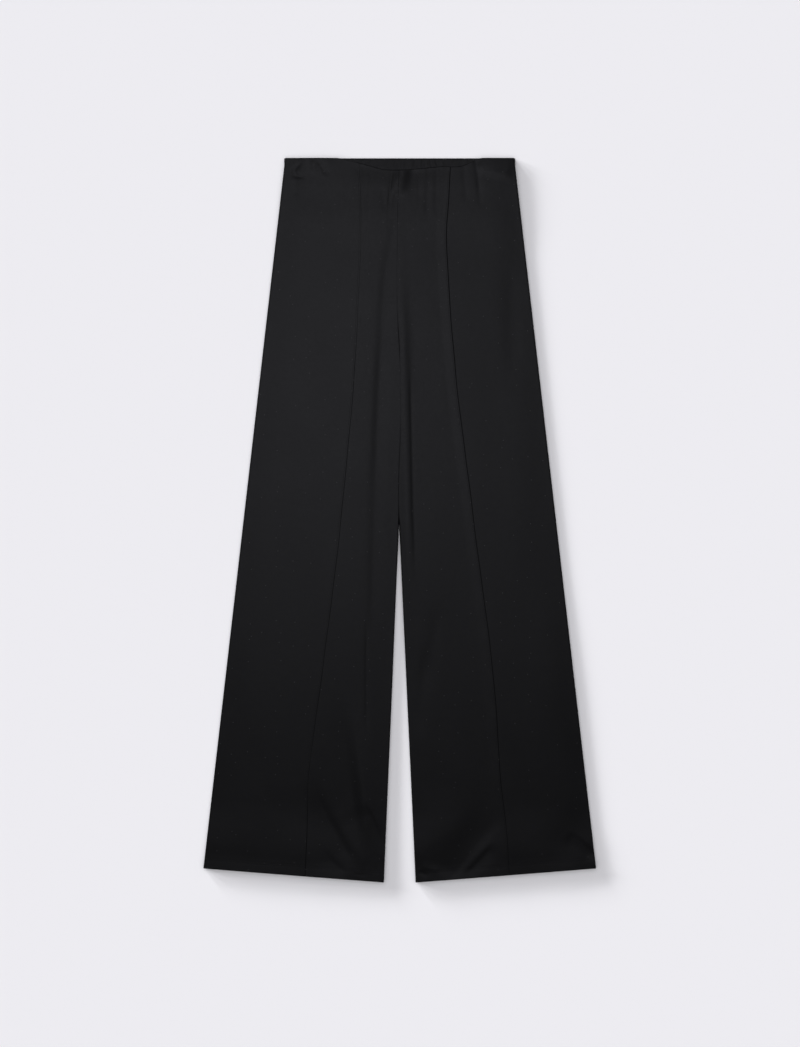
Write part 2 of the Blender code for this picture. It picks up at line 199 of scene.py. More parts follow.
LINT_RADIUS = 0.026  # share of a cell
LINT_RARITY = 0.6
LINT_COLOUR = (0.07, 0.07, 0.072)

# Thread's looks
THREAD_TWIST = {"Scale": 900.0, "Distortion": 0.6, "bands_direction": "DIAGONAL"}
THREAD_BUMP = {"Strength": 0.4, "Distance": 0.05 * MM}
THREAD_DARK = (0.006, 0.006, 0.0066)
THREAD_LIGHT = (0.011, 0.011, 0.012)
THREAD_ROUGHNESS = 0.45
THREAD_SPECULAR = 0.2

# Studio
FLOOR_SIZE = 14.0
FLOOR_LEVEL = -0.3 * MM
FLOOR_COLOUR = (0.860, 0.852, 0.892)
BACKDROP_COLOUR = (0.83, 0.823, 0.863)
AMBIENT = 0.1
CAMERA_PLACE = (0.4 * MM, -4.9 * MM, 3.7125)
LENS = 85.0
SENSOR = 36.0
CLIP_END = 100.0

# Lamps: azimuth 0 is the waist end and 90 the -X side, both angles in degrees
Sun = namedtuple("Sun", "name azimuth elevation energy width")
FLOOR_LAMPS = [
    Sun("floor_top_light", 45, 85, 1.76, 125),
    Sun("floor_low_light_38", 38, 8, 2.45, 8),
    Sun("floor_low_light_53", 53, 8, 2.45, 8),
    Sun("floor_low_light_68", 68, 8, 2.45, 8),
]
SUN_DISTANCE = 5.0
CLOTH_LIGHT_PLACE = (-0.30, 0.57, 3.9)
CLOTH_LIGHT_ENERGY = 29.0
CLOTH_LIGHT_SIZE = 0.8
CLOTH_LIGHT_COLOUR = (0.97, 0.97, 1.06)

# The tables are in millimetres, and those with a y run from the hem to the waist.
Station = namedtuple("Station", "y x")
InnerStation = namedtuple("InnerStation", "y right left")
WaistStation = namedtuple("WaistStation", "x dip")
RowBand = namedtuple("RowBand", "length steps")
LossStation = namedtuple("LossStation", "y right left")
DipStation = namedtuple("DipStation", "y depth")
CreaseStation = namedtuple("CreaseStation", "y right left")
LongFold = namedtuple("LongFold", "leg y_low y_high shift left_width right_width depth")
Fold = namedtuple(
    "Fold",
    "leg x0 y0 xm ym x1 y1 left_width right_width depth sharpness fade_in fade_out",
    defaults=[2.0, 0.3, 0.3],
)

INSEAMS = [
    InnerStation(-543.4, -23.7, 23.7),
    InnerStation(-419.6, -18.5, 18.1),
    InnerStation(-269.6, -12.1, 11.1),
    InnerStation(-120, -6.0, 4.3),
    InnerStation(-60, -3.4, 1.5),
    InnerStation(-31, -2.1, 0.1),
    InnerStation(-2.6, -1.2, -1.2),
]

CENTRE_LINE = [
    Station(-2.6, -1.2),
    Station(45, -1.8),
    Station(143, 1.2),
    Station(249, 0.0),
    Station(303, -3.0),
    Station(432, -3.5),
    Station(543.4, -1.0),
]

WAIST_DIP = [
    WaistStation(-172, 0.0),
    WaistStation(-90, 0.6),
    WaistStation(-45, 11.6),
    WaistStation(-24, 17.0),
    WaistStation(-6, 17.8),
    WaistStation(24, 16.4),
    WaistStation(60, 12.8),
    WaistStation(98, 10.4),
    WaistStation(112, 3.4),
    WaistStation(122, 0.3),
    WaistStation(172, 0.0),
]

INNER_FOLD_LINE = {
    "right": [
        Station(-543.4, -57.0),
        Station(-420, -50.0),
        Station(-322, -46.0),
        Station(-180, -47.0),
        Station(0, -43.5),
        Station(120, -39.5),
        Station(255, -33.5),
        Station(375, -25.5),
        Station(435, -15.0),
        Station(488, -9.5),
        Station(543.4, -7.0),
    ],
    "left": [
        Station(-543.4, 70.0),
        Station(-400, 50.0),
        Station(-250, 32.0),
        Station(-105, 21.8),
        Station(0, 18.0),
        Station(150, 14.6),
        Station(281, 12.0),
        Station(380, 7.5),
        Station(467, 5.1),
        Station(543.4, 6.0),
    ],
}

CREASE_LINE = {
    "right": [
        Station(-543.4, -142.8),
        Station(-472, -140.0),
        Station(-382, -137.0),
        Station(-300, -126.8),
        Station(-202, -113.4),
        Station(-82, -98.0),
        Station(38, -85.0),
        Station(158, -73.6),
        Station(278, -65.0),
        Station(368, -60.8),
        Station(458, -58.6),
        Station(543.4, -61.5),
    ],
    "left": [
        Station(-543.4, 164.8),
        Station(-450, 158.0),
        Station(-390, 150.5),
        Station(-330, 147.3),
        Station(-270, 143.0),
        Station(-150, 130.0),
        Station(-30, 114.0),
        Station(90, 99.0),
        Station(210, 84.3),
        Station(330, 74.3),
        Station(390, 71.2),
        Station(435, 69.5),
        Station(480, 72.6),
        Station(543.4, 76.0),
    ],
}

# Share of the loft that each front panel loses at its inner edge
INNER_LOSS = [
    LossStation(-543.4, 0.5, 0.4),
    LossStation(-60, 0.65, 0.35),
    LossStation(60, 0.55, 0.25),
    LossStation(200, 0.45, 0.15),
    LossStation(330, 0.2, 0.1),
    LossStation(543.4, 0.1, 0.1),
]

# How far the front seam dips between the two panels above the split
SEAM_DIP = [
    DipStation(-2.6, 0.5),
    DipStation(20, 0.15),
    DipStation(70, 0.15),
    DipStation(120, 0.15),
    DipStation(160, 0.03),
    DipStation(230, 0.03),
    DipStation(270, 0.25),
    DipStation(320, 0.05),
    DipStation(440, 0.1),
    DipStation(543.4, 0.15),
]

# How strongly the stitched crease stands out
CREASE_STRENGTH = [
    CreaseStation(-543.4, 1.0, 0.4),
    CreaseStation(-480, 1.0, 0.4),
    CreaseStation(-440, 0.7, 0.7),
    CreaseStation(-410, 0.25, 1.0),
    CreaseStation(-340, 0.25, 1.0),
    CreaseStation(-300, 0.5, 1.0),
    CreaseStation(150, 0.4, 1.0),
    CreaseStation(240, 0.3, 1.1),
    CreaseStation(300, 0.15, 1.2),
    CreaseStation(543.4, 0.15, 1.2),
]

# Dents deeper than the loft, made after it
DENTS = [
    Fold("both", 22, 532, 18, 509, 12, 476, 11.0, 9.0, -0.6, 2.0, 0.3, 0.6),
    Fold("both", 6.5, 548, 2, 514, -5, 486, 11.0, 9.0, 1.2, 2.0, 0.2, 0.25),
]

# Folds beside the two long lines; left and right are as the front is seen, and a negative depth is a trough.
LONG_FOLDS = [
    LongFold("right", -240, 530, 6.0, 8.0, 13.0, -0.5),
    LongFold("right", 40, 300, 6.0, 7.0, 11.0, -0.2),
    LongFold("left", -160, 500, -7.5, 9.0, 10.0, 0.4),
    LongFold("left", -160, 380, -7.5, 14.0, 8.5, 0.75),
    LongFold("left", -90, 250, 2.5, 2.0, 3.5, -0.24),
]

# Folds on a curve from (x0, y0) through (xm, ym) to (x1, y1); left and right are as seen walking along it.
FOLDS = [
    # hem of the right leg
    Fold("right", -78, -245, -60, -370, -48, -500, 45, 12, 1.6, 1.2, 0.75, 0.2),
    Fold("right", -96, -240, -76, -385, -60, -525, 10, 36, -1.2, 2.0, 0.7, 0.45),
    Fold("right", -138, -385, -102, -462, -60, -528, 10, 44, -1.25, 2.0, 0.5, 0.3),
    Fold("right", -122, -480, -104, -510, -78, -531, 6, 16, -0.42, 2.0, 0.6, 0.3),
    Fold("right", -55, -421, -37, -460, -22, -500, 4, 40, -0.7, 2.0, 0.3, 0.6),
    Fold("right", -44, -496, -30, -508, -18, -517, 4, 16, -0.2),
    Fold("right", -71, -529.5, -58, -532, -46, -531, 2.0, 1.6, -0.12),
    # hem of the left leg
    Fold("left", 112, -405, 62, -470, 2, -500, 24, 40, 0.75, 2.0, 0.4, 0.2),
    Fold("left", 157, -430, 110, -490, 69, -542, 13, 28, -1.2, 2.0, 0.45, 0.15),
    Fold("left", 144, -484, 119, -512, 94, -537, 12, 5, -0.8),
    Fold("left", 284, -420, 257, -471, 212, -507, 28, 30, -1.3, 2.0, 0.45, 0.4),
    Fold("left", 250, -470, 274, -488, 300, -509, 5, 11, -1.3),
    Fold("left", 29, -525, 36, -530, 44, -534, 3, 4, -0.3),
    Fold("left", 30, -518, 46, -522, 62, -527, 6, 4, 0.25),
    # broad soft troughs
    Fold("left", 165, 398, 168, 300, 172, 190, 14, 14, -0.35),
    Fold("left", 60, -120, 50, -190, 40, -262, 10, 10, -0.3),
    Fold("left", 40, -180, 33, -260, 30, -330, 9, 9, -0.4),
    # crisp line of the long fold
    Fold("right", -49.5, -140, -50, -240, -49, -335, 2.2, 2.2, -0.42, 1.2),
    # the pinch and the crisp fold beside it
    Fold("left", -40, 530, 22, 527, 84, 534, 10, 16, -0.6),
    Fold("right", -84, 534, -22, 527, 40, 530, 10, 16, -0.6),
    Fold("right", 3, 512, -4, 494, -12, 462, 5, 5, -0.5, 1.3),
    Fold("right", -10, 540, -14, 500, -19, 452, 2.2, 3.0, -0.5, 1.2),
    Fold("right", -27, 500, -24, 480, -22, 460, 5, 5, -0.2),
    # gathers under the right half of the waist
    Fold("right", -82, 548, -81, 510, -80, 470, 4.0, 4.0, -0.14),
    Fold("right", -64, 540, -65, 505, -67, 455, 4.0, 3.0, -0.12),
    Fold("right", -52, 540, -54, 508, -55, 475, 3.0, 4.0, -0.14),
    Fold("right", -44, 540, -46, 500, -50, 450, 3.0, 3.0, -0.12),
    # gathers under the left half of the waist
    Fold("left", 30, 540, 29, 508, 28, 470, 4.0, 3.0, -0.16),
    Fold("left", 43, 545, 42, 500, 40, 438, 3.5, 4.5, -0.20),
    Fold("left", 56, 545, 55, 506, 53, 452, 4.0, 3.5, -0.16),
    Fold("left", 64, 540, 63, 505, 61, 470, 3.0, 3.0, -0.12),
    Fold("left", 96, 545, 98, 504, 101, 470, 3.0, 4.5, -0.18),
    Fold("left", 108, 548, 116, 524, 121, 460, 4.0, 3.0, -0.45, 1.4),
    # crumples and shine at the two ends of the casing
    Fold("right", -152, 552, -127, 546, -98, 552, 10, 18, 0.9),
    Fold("right", -143, 539, -158, 524, -148, 514, 3.0, 3.0, -0.6, 1.3),
    Fold("right", -162, 519, -153, 515, -142, 517, 2.5, 2.5, -0.5, 1.3),
    Fold("right", -131, 541, -129, 530, -127, 516, 3.5, 3.5, 0.4),
    Fold("right", -124, 541, -116, 529, -108, 514, 3.0, 2.5, -0.5, 1.4),
    Fold("right", -158, 520, -156, 500, -157, 482, 4.0, 4.0, -0.25),
    Fold("left", 114, 536, 137, 525, 174, 517, 34, 7, 0.75, 2.0, 0.3, 0.2),
    Fold("left", 124, 534, 132, 525, 138, 535, 2.2, 2.2, -0.2, 1.3),
]

# Bands of grid rows, from the waist down
ROW_BANDS = [
    RowBand(28, 24),
    RowBand(60, 32),
    RowBand(160, 48),
    RowBand(298, 72),
    RowBand(30, 10),
    RowBand(300, 72),
    RowBand(90, 30),
    RowBand(100, 56),
    RowBand(20.8, 18),
]
DIP_FADES = (28 * MM, 88 * MM)
SLANT_SETS_IN = (666 * MM, 966 * MM)
OUTER_COLUMNS = 42  # between the crease and the side seam
INNER_COLUMNS = 62  # between the inner edge and the crease
BACK_COLUMN_COUNT = 36
BACK_ROWS_KEPT = 3  # a back panel keeps one row in this many, away from its ends

SIDE = {"right": -1, "left": 1}
CURVE_POINTS = 16


# ---------------------------------------------------------------- form


def at_least_zero(value):
    """The value, or zero where it is negative, with the corner between them rounded."""
    return 0.5 * (value + np.hypot(value, SOFT_FLOOR))


def smooth_step(value, start, end):
    share = np.clip((value - start) / (end - start), 0.0, 1.0)
    return share * share * (3.0 - 2.0 * share)


def through(table, along, across, value):
    """Cubic curve through a table's rows, with each row's slope taken from its neighbours."""
    at = np.array([getattr(row, along) for row in table]) * MM
    out = np.array([getattr(row, across) for row in table]) * MM
    slope = np.gradient(out, at)
    value = np.clip(value, at[0], at[-1])
    low = np.clip(np.searchsorted(at, value, side="right") - 1, 0, len(at) - 2)
    span = at[low + 1] - at[low]
    t = (value - at[low]) / span
    start = (1 + 2 * t) * (1 - t) ** 2 * out[low] + t * (1 - t) ** 2 * span * slope[low]
    end = t**2 * (3 - 2 * t) * out[low + 1] - t**2 * (1 - t) * span * slope[low + 1]
    return start + end


def through_shares(table, column, y):
    """Straight lines through a table whose values are shares, not sizes."""
    at = [row.y * MM for row in table]
    return np.interp(y, at, [getattr(row, column) for row in table])


def inner_edge(leg, y):
    centre = through(CENTRE_LINE, "y", "x", y) - SIDE[leg] * SEAM_LAP
    return np.where(y > SPLIT_Y - GAP, centre, through(INSEAMS, "y", leg, y))


def outer_edge(leg, y):
    share = (WAIST_Y - y) / (WAIST_Y - HEM_OUTER_Y)
    return SIDE[leg] * (WAIST_HALF_WIDTH + share * (HEM_HALF_WIDTH - WAIST_HALF_WIDTH))


def hem_line(x):
    inner = abs(INSEAMS[0].right) * MM
    share = (np.abs(x) - inner) / (HEM_HALF_WIDTH - inner)
    return HEM_INNER_Y + share * (HEM_OUTER_Y - HEM_INNER_Y)


def waist_line(x):
    return WAIST_Y - np.maximum(through(WAIST_DIP, "x", "dip", x), 0.0)


def crease_line(leg, y):
    """The sewn crease, which wanders a little as a fold stitched by hand feed does."""
    wander = np.sin(y / CREASE_WANDER[0]) * np.sin(y / CREASE_WANDER[1] + SIDE[leg])
    return through(CREASE_LINE[leg], "y", "x", y) + CREASE_WIGGLE * wander


def fold_curve(fold):
    """Points of the quadratic curve that passes through the fold's middle point."""
    ends = np.array([[fold.x0, fold.y0], [fold.x1, fold.y1]]) * MM
    middle = np.array([fold.xm, fold.ym]) * MM
    pull = 2.0 * middle - ends.mean(axis=0)
    t = np.linspace(0.0, 1.0, CURVE_POINTS)[:, None]
    return (1 - t) ** 2 * ends[0] + 2 * t * (1 - t) * pull + t**2 * ends[1]


def fold_height(fold, x, y):
    """A trough or ridge along the fold's curve, fading out towards both of its ends."""
    points = fold_curve(fold)
    reach = FOLD_REACH * max(fold.left_width, fold.right_width) * MM
    low = points.min(axis=0) - reach
    high = points.max(axis=0) + reach
    near = (x > low[0]) & (x < high[0]) & (y > low[1]) & (y < high[1])
    px = x[near]
    py = y[near]
    nearest = np.full(px.shape, np.inf)
    along = np.zeros(px.shape)
    on_left = np.zeros(px.shape, bool)
    for i, (start, end) in enumerate(zip(points[:-1], points[1:])):
        step = end - start
        t = ((px - start[0]) * step[0] + (py - start[1]) * step[1]) / (step @ step)
        t = np.clip(t, 0.0, 1.0)
        away = np.hypot(px - start[0] - t * step[0], py - start[1] - t * step[1])
        closer = away < nearest
        turn = step[0] * (py - start[1]) - step[1] * (px - start[0])
        along = np.where(closer, (i + t) / (CURVE_POINTS - 1), along)
        on_left = np.where(closer, turn > 0, on_left)
        nearest = np.minimum(nearest, away)
    fade = smooth_step(along, 0.0, fold.fade_in) * smooth_step(1.0 - along, 0.0, fold.fade_out)
    width = np.where(on_left, fold.left_width, fold.right_width) * MM
    height = np.zeros(x.shape)
    height[near] = fold.depth * MM * fade * np.exp(-((nearest / width) ** fold.sharpness))
    return height


def long_fold_height(fold, x, y):
    away = x - through(INNER_FOLD_LINE[fold.leg], "y", "x", y) - fold.shift * MM
    low = fold.y_low * MM
    high = fold.y_high * MM
    reach = LONG_FOLD_FADE * (high - low)
    fade = smooth_step(y, low, low + reach) * smooth_step(-y, -high, -high + reach)
    width = np.where(away < 0, fold.left_width, fold.right_width) * MM
    return fold.depth * MM * fade * np.exp(-((away / width) ** 2))


def waves(x, y, lengths, seed):
    """Smooth random waves between -1 and 1, the same on every run."""
    flat = zip(x.ravel() / lengths[0], y.ravel() / lengths[1])
    heights = [noise.noise(Vector((u, v, seed))) for u, v in flat]
    return np.array(heights).reshape(x.shape)


def crease_ridge(leg, x, y):
    away = x - crease_line(leg, y)
    rise = smooth_step(away, *CREASE_RISE)
    drop = smooth_step(away, *CREASE_DROP)
    uneven = 1.0 + CREASE_UNEVENNESS * waves(np.zeros(y.shape), y, CREASE_CHANGE, CREASE_SEED + SIDE[leg])
    strength = uneven * through_shares(CREASE_STRENGTH, leg, y)
    return CREASE_HEIGHT * strength * rise * (1.0 - drop)


def hem_sewing(x, y):
    """The pull of the hem's stitch rows and the slight puff of the turned cloth under them."""
    above = y - hem_line(x)
    groove = sum(np.exp(-(((above - at) / HEM_GROOVE_WIDTH) ** 2)) for at in HEM_STITCH_HEIGHTS.values())
    swell = 1.0 - smooth_step(above, HEM_PUFF_START, HEM_PUFF_DEPTH)
    uneven = 1.0 + HEM_PUFF_UNEVENNESS * waves(x, y, HEM_PUFF_LENGTH, HEM_PUFF_SEED)
    return HEM_PUFF * uneven * swell - HEM_GROOVE * groove


def near_end(inside, zone):
    """1 at an end of the garment and 0 from the zone's far limit in, at this distance inside the end."""
    return smooth_step(-inside, -zone[0], -zone[1])


def end_lifts(x, y):
    """How far the layers under a front panel lift it near the waist and near the hem."""
    waist = WAIST_LIFT * near_end(WAIST_Y - y, WAIST_LIFT_ZONE)
    hem = HEM_LIFT * near_end(y - hem_line(x), HEM_LIFT_ZONE)
    return waist + hem


def front_outside(leg, x, y):
    """Height of a front panel's outer face, before its edges roll."""
    from_side = np.abs(outer_edge(leg, y) - x)
    from_inner = np.abs(inner_edge(leg, y) - x)
    inner_loss = through_shares(INNER_LOSS, leg, y)
    lay = LOFT * (1.0 - (1.0 - WAIST_LOFT) * near_end(WAIST_Y - y, WAIST_LOFT_ZONE))
    lay = lay + WAVE_HEIGHT * waves(x, y, WAVE_LENGTH, SIDE[leg])
    tilt_share = smooth_step(y, *LEG_TILT_SETS_IN) * (1.0 - smooth_step(y, *LEG_TILT_ENDS))
    lay = lay - LEG_TILT[leg] * (x - (inner_edge(leg, y) + outer_edge(leg, y)) / 2) * tilt_share
    lay = lay * (1.0 - SIDE_LOSS * np.exp(-((from_side / SIDE_ROLL) ** 2)))
    lay = lay * (1.0 - inner_loss * np.exp(-((from_inner / INNER_ROLL[leg]) ** 2)))
    for fold in FOLDS:
        if fold.leg in (leg, "both"):
            lay = lay + fold_height(fold, x, y)
    for fold in LONG_FOLDS:
        if fold.leg == leg:
            lay = lay + long_fold_height(fold, x, y)
    lift = end_lifts(x, y)
    room = ROOM - lift
    lay = room - at_least_zero(room - at_least_zero(lay))
    fine = CRUMPLE_HEIGHT * waves(x, y, CRUMPLE_LENGTH, CRUMPLE_SEED + SIDE[leg]) + hem_sewing(x, y)
    dents = sum(fold_height(dent, x, y) for dent in DENTS if dent.leg in (leg, "both"))
    return LOWEST_FRONT + lift + lay + fine + dents


def turned_layer(distance, depth):
    """What the turned-in edge adds to the wall at this distance from the edge."""
    return TURNED * smooth_step(-distance, -depth, LAYER_STEP - depth)


def roll(distance, radius):
    """0 at an edge and 1 from one radius in, along a quarter circle."""
    return np.sqrt(1.0 - (1.0 - np.clip(distance / radius, 0.0, 1.0)) ** 2)


# ---------------------------------------------------------------- grids


def row_distances(keep_one_in=1):
    """Distances of the rows below the back waist edge, with close rows round the rolled ends."""
    total = sum(band.length for band in ROW_BANDS)
    distances = list(EDGE_STEPS)
    start = 0.0
    for band in ROW_BANDS:
        steps = max(1, band.steps // keep_one_in)
        distances.extend(start + band.length * np.arange(1, steps + 1) / steps)
        start += band.length
    ends = EDGE_STEPS[-1]
    middle = [d for d in distances if ends < d < total - ends]
    rows = sorted(set(EDGE_STEPS) | set(middle) | {total - d for d in EDGE_STEPS})
    return np.array(rows) * MM


def spread(start, end, count):
    """Columns evenly between two guide lines, leaving both out."""
    shares = np.arange(1, count + 1) / (count + 1)
    return [start + share * (end - start) for share in shares]


def edge_lines(leg, y):
    """The panel's two long edges in order of x."""
    return sorted((inner_edge(leg, y), outer_edge(leg, y)), key=lambda line: line.mean())


def rolled_columns(leg, y):
    """The close columns round a panel's two long edges."""
    low, high = edge_lines(leg, y)
    rolled_low = [low + step * MM for step in EDGE_STEPS]
    rolled_high = [high - step * MM for step in reversed(EDGE_STEPS)]
    return rolled_low, rolled_high


def front_columns(leg, y):
    """x of every column of a front panel along rows at y, in order of x."""
    rolled_low, rolled_high = rolled_columns(leg, y)
    crease = crease_line(leg, y)
    counts = (INNER_COLUMNS, OUTER_COLUMNS)[:: SIDE[leg]]
    sewn = [crease + step * MM for step in CREASE_COLUMNS]
    before = spread(rolled_low[-1], sewn[0], counts[0])
    after = spread(sewn[-1], rolled_high[0], counts[1])
    return rolled_low + before + sewn + after + rolled_high


def back_columns(leg, y):
    rolled_low, rolled_high = rolled_columns(leg, y)
    return rolled_low + spread(rolled_low[-1], rolled_high[0], BACK_COLUMN_COUNT) + rolled_high


def panel_grid(leg, columns_at, waist_at, keep_one_in=1):
    """x and y of a panel's grid, rows from the waist to the hem and columns in order of x."""
    distance = row_distances(keep_one_in)
    dip_share = 1.0 - smooth_step(distance, *DIP_FADES)
    slant_share = smooth_step(distance, *SLANT_SETS_IN)
    level = WAIST_Y - distance
    across = np.array(columns_at(leg, level)).T
    dip = (WAIST_Y - waist_at(across)) * dip_share[:, None]
    rise = (hem_line(across) - HEM_INNER_Y) * slant_share[:, None]
    y = level[:, None] - dip + rise
    columns = np.array(columns_at(leg, y))
    x = np.array([column[:, i] for i, column in enumerate(columns)]).T
    return x, y


def shell(name, x, y, top, bottom, material):
    """A closed thin shell between two height grids that share their plan and meet along their rim."""
    rows, columns = x.shape
    count = rows * columns
    index = np.arange(count).reshape(rows, columns)
    rim = np.zeros(x.shape, bool)
    rim[[0, -1], :] = True
    rim[:, [0, -1]] = True
    under = index + count
    under[rim] = index[rim]
    upper = np.stack([x, y, top], axis=-1).reshape(-1, 3)
    lower = np.stack([x, y, bottom], axis=-1).reshape(-1, 3)
    middle = (upper + lower) / 2
    upper[rim.ravel()] = middle[rim.ravel()]
    corners = [(0, 0), (1, 0), (1, 1), (0, 1)]
    quads = []
    for grid, order in ((index, corners), (under, corners[::-1])):
        quad = [grid[r : rows - 1 + r, c : columns - 1 + c] for r, c in order]
        quads.append(np.stack(quad, axis=-1).reshape(-1, 4))
    used, faces = np.unique(np.concatenate(quads), return_inverse=True)
    points = np.concatenate([upper, lower])[used]
    mesh = bpy.data.meshes.new(name)
    mesh.from_pydata(points.tolist(), [], faces.reshape(-1, 4).tolist())
    return piece_of(name, mesh, material)


def piece_of(name, mesh, material):
    mesh.polygons.foreach_set("use_smooth", np.ones(len(mesh.polygons), bool))
    mesh.materials.append(material)
    piece = bpy.data.objects.new(name, mesh)
    GARMENT.objects.link(piece)
    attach(piece, "root")
    return piece


# ---------------------------------------------------------------- pieces


def seam_level(x, y):
    """Height where a front panel's long edges meet the back panel's."""
    return BACK_TOP + GAP / 2 + end_lifts(x, y) / 2


def rolled_faces(leg, x, y, waist, top, bottom, seam):
    """Both faces of a panel with its edges rolled: the ends meet halfway, the long edges at the seam."""
    from_end = np.minimum(waist - y, y - hem_line(x))
    from_side = np.minimum(np.abs(outer_edge(leg, y) - x), np.abs(inner_edge(leg, y) - x))
    end_roll = roll(from_end, TURN_RADIUS)
    side_roll = roll(from_side, SIDE_RADIUS)
    middle = (top + bottom) / 2
    faces = [middle + (face - middle) * end_roll for face in (top, bottom)]
    return [seam + (face - seam) * side_roll for face in faces]


def front_panel(leg):
    x, y = panel_grid(leg, front_columns, waist_line)
    outside = front_outside(leg, x, y)
    waist = waist_line(x)
    turned = turned_layer(waist - y, WAIST_TURN_DEPTH) + turned_layer(y - hem_line(x), HEM_DEPTH)
    top = outside + crease_ridge(leg, x, y)
    bottom = outside - CLOTH - turned
    dip = through_shares(SEAM_DIP, "depth", y) * MM
    at_centre = (np.abs(inner_edge(leg, y) - x) < SIDE_RADIUS) & (y > SPLIT_Y)
    seam = seam_level(x, y)
    seam = np.where(at_centre, np.maximum(outside - dip, seam), seam)
    top, bottom = rolled_faces(leg, x, y, waist, top, bottom, seam)
    piece = shell("front_" + leg + "_cloth", x, y, top, bottom, cloth_material(JERSEY))
    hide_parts("front_" + leg)
    return piece


def back_panel(leg):
    x, y = panel_grid(leg, back_columns, lambda across: np.full(across.shape, WAIST_Y), BACK_ROWS_KEPT)
    top = CLOTH + turned_layer(y - hem_line(x), HEM_DEPTH)
    bottom = np.zeros(x.shape)
    seam = seam_level(x, y) - BACK_SEAM_DROP
    top, bottom = rolled_faces(leg, x, y, WAIST_Y, top, bottom, seam)
    piece = shell("back_" + leg + "_cloth", x, y, top, bottom, cloth_material(JERSEY))
    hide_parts("back_" + leg)
    return piece


def waist_casing():
    """The back half of the elastic casing: its gathers lean and run into each other where it shows."""
    half = CASING_HALF_WIDTH
    across = np.linspace(-half, half, CASING_COLUMNS + 1)
    steps = np.array(EDGE_STEPS) * MM
    depth = CASING_HIGH_Y - CASING_LOW_Y
    inside = np.linspace(steps[-1], depth - steps[-1], CASING_ROWS)[1:-1]
    down = np.concatenate([steps, inside, depth - steps[::-1]])
    y = np.repeat((CASING_HIGH_Y - down)[:, None], len(across), axis=1)
    x = np.repeat(across[None, :], len(down), axis=0)
    lean = x + CASING_SLANT * (CASING_HIGH_Y - y)
    drift = CASING_DRIFT * waves(x, y, CASING_DRIFT_LENGTH, CASING_DRIFT_SEED)
    phase = 2.0 * np.pi * (CASING_GATHERS * (lean + half) / (2 * half) + drift)
    height, count, shift = CASING_SECOND_GATHER
    gathers = np.sin(phase) + height * np.sin(count * phase + shift)
    shown = smooth_step(y - waist_line(x), *CASING_OPEN_EDGE)
    uneven = CASING_PATCH[0] + CASING_PATCH[1] * waves(x, y, CASING_PATCH_LENGTH, CASING_PATCH_SEED)
    relief = uneven * gathers * (CASING_GATHER_HEIGHT + CASING_OPEN_HEIGHT * shown)
    bottom = np.full(x.shape, BACK_TOP + GAP)
    top = bottom + CASING_THICKNESS + np.where(relief > 0, relief * (CASING_COVERED + shown), relief)
    from_end = np.minimum(CASING_HIGH_Y - y, y - CASING_LOW_Y)
    from_side = half - np.abs(x)
    edge = roll(np.minimum(from_end, from_side), TURN_RADIUS)
    middle = bottom + CASING_EDGE_LEVEL
    top = middle + (top - middle) * edge
    bottom = middle + (bottom - middle) * edge
    # The casing's darker jersey colours are painted shade
    piece = shell("waist_casing_cloth", x, y, top, bottom, cloth_material(CASING_JERSEY_SHADED))
    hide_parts("waist_casing_back")
    return piece


def stitch_faces(count):
    """Faces of that many closed tubes, each of the same rings of points."""
    per_stitch = len(STITCH_RINGS) * STITCH_SIDES
    around = range(STITCH_SIDES)
    faces = []
    for first in range(0, count * per_stitch, per_stitch):
        last = first + per_stitch - STITCH_SIDES
        for low in range(first, last, STITCH_SIDES):
            high = low + STITCH_SIDES
            for k in around:
                after = (k + 1) % STITCH_SIDES
                faces.append((low + k, low + after, high + after, high + k))
        faces.append(tuple(first + k for k in reversed(around)))
        faces.append(tuple(last + k for k in around))
    return faces


def stitch_row(name, path):
    """One row of stitches along a path on the cloth: each dives into the cloth at both of its ends."""
    step = np.linalg.norm(np.diff(path, axis=0), axis=1)
    run = np.concatenate([[0.0], np.cumsum(step)])
    starts = np.arange(STITCH_PITCH, run[-1] - STITCH_LENGTH, STITCH_PITCH)
    rings = np.array(STITCH_RINGS)
    at = starts[:, None] + STITCH_LENGTH * rings[None, :]
    centre = np.stack([np.interp(at, run, path[:, k]) for k in range(3)], axis=-1)
    bulge = np.sqrt(np.clip(1.0 - (2 * rings - 1) ** 2, 0.0, 1.0))
    centre[..., 2] += THREAD_RADIUS * (STITCH_RISE * bulge - 1.0)[None, :]
    ahead = np.gradient(centre, axis=1)
    ahead /= np.linalg.norm(ahead, axis=-1, keepdims=True)
    up = np.array([0.0, 0.0, 1.0])
    across = np.cross(ahead, up)
    across /= np.linalg.norm(across, axis=-1, keepdims=True)
    lift = np.cross(across, ahead)
    turn = 2.0 * np.pi * np.arange(STITCH_SIDES) / STITCH_SIDES
    size = THREAD_RADIUS * (STITCH_TIP + (1.0 - STITCH_TIP) * bulge)[None, :, None, None]
    around = np.cos(turn)[:, None] * across[:, :, None, :] + np.sin(turn)[:, None] * lift[:, :, None, :]
    points = (centre[:, :, None, :] + size * around).reshape(-1, 3)
    mesh = bpy.data.meshes.new(name)
    mesh.from_pydata(points.tolist(), [], stitch_faces(len(starts)))
    piece = piece_of(name, mesh, thread())
    return piece


def on_front(leg, x, y):
    """Points on a front panel's outer face."""
    z = front_outside(leg, x, y) + crease_ridge(leg, x, y)
    return np.stack([x, y, z], axis=-1)


def hem_stitches(leg, row):
    low, high = (line[0] for line in edge_lines(leg, np.array([HEM_OUTER_Y])))
    x = np.arange(low + SEWING_INSET, high - SEWING_INSET, PATH_STEP)
    y = hem_line(x) + HEM_STITCH_HEIGHTS[row]
    return stitch_row("hem_stitches_" + leg + "_" + row, on_front(leg, x, y))


